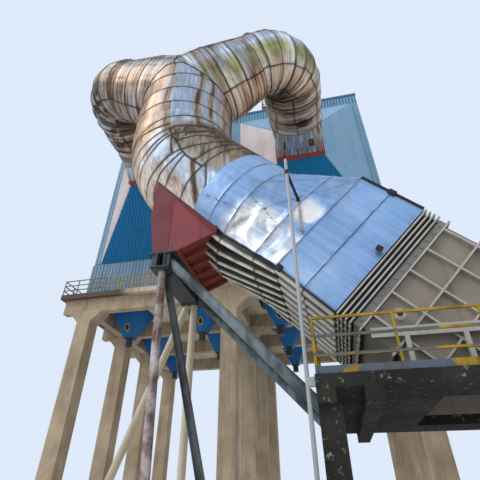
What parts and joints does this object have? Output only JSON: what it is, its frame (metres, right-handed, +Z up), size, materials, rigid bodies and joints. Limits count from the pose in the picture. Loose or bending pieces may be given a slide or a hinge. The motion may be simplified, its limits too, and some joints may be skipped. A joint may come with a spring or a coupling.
{
  "type": "electrostatic precipitator with its inlet gas duct",
  "caption": "Kiln gas precipitator on a concrete deck, fed by a gored riser duct that forks into two inlet horns.",
  "frame": {"origin": "middle of the footprint's bounding box, on the ground", "axes": "+Z up, +Y from the duct through the precipitator to its outlet, +X to the right seen from the duct"},
  "size_m": [24.4819, 29.85, 30.55],
  "materials": {
    "casing_blue": "weathered ribbed sheet",
    "horn_blue": "weathered ribbed sheet",
    "skirt_pale": "faded ribbed sheet",
    "collar_red": "red oxide paint",
    "hopper_blue": "painted plate",
    "duct_stained": "stained cladding sheet",
    "duct_bright": "bright dented cladding sheet",
    "plate_grey": "dusty plate",
    "red_oxide": "red oxide paint",
    "dark_steel": "dark painted steel",
    "leg_rust": "rusted tube",
    "leg_beige": "faded paint",
    "strut_grey": "galvanised tube",
    "deck_concrete": "weathered concrete",
    "dark_concrete": "stained concrete",
    "rail_yellow": "chipped paint",
    "roof_brown": "rusted plate"
  },
  "bodies": {
    "root": {"casing_front_wall": "casing_blue", "casing_rear_wall": "casing_blue", "casing_left_wall": "casing_blue", "casing_right_wall": "casing_blue", "casing_roof": "casing_blue", "casing_floor": "hopper_blue", "casing_skirt": "skirt_pale", "inlet_horn_left": "horn_blue", "inlet_horn_right": "horn_blue", "outlet_horn_left": "horn_blue", "outlet_horn_right": "horn_blue", "inlet_collars": "collar_red", "outlet_collars": "collar_red", "hoppers": "hopper_blue", "dust_valves": "dark_steel", "roof_box": "roof_brown", "deck_slab": "deck_concrete", "deck_beams": "deck_concrete", "deck_columns": "deck_concrete", "deck_railing": "rail_yellow", "riser": "duct_stained", "fork": "duct_stained", "branch_left": "duct_stained", "branch_right": "duct_stained", "square_piece_left": "duct_stained", "square_piece_right": "duct_stained", "lower_bend": "duct_stained", "hood_transition": "duct_bright", "hood": "duct_bright", "expansion_joint": "plate_grey", "plate_duct": "plate_grey", "plate_duct_ribs": "plate_grey", "plate_duct_stringers": "plate_grey", "duct_rest": "plate_grey", "saddle": "red_oxide", "trestle_girder": "dark_steel", "trestle_front_legs": "leg_rust", "trestle_rear_legs": "leg_beige", "raking_struts": "strut_grey", "standpipe": "strut_grey", "platform_slab": "dark_concrete", "platform_beams": "dark_concrete", "platform_columns": "dark_concrete", "platform_railing": "rail_yellow"}
  },
  "joints": []
}
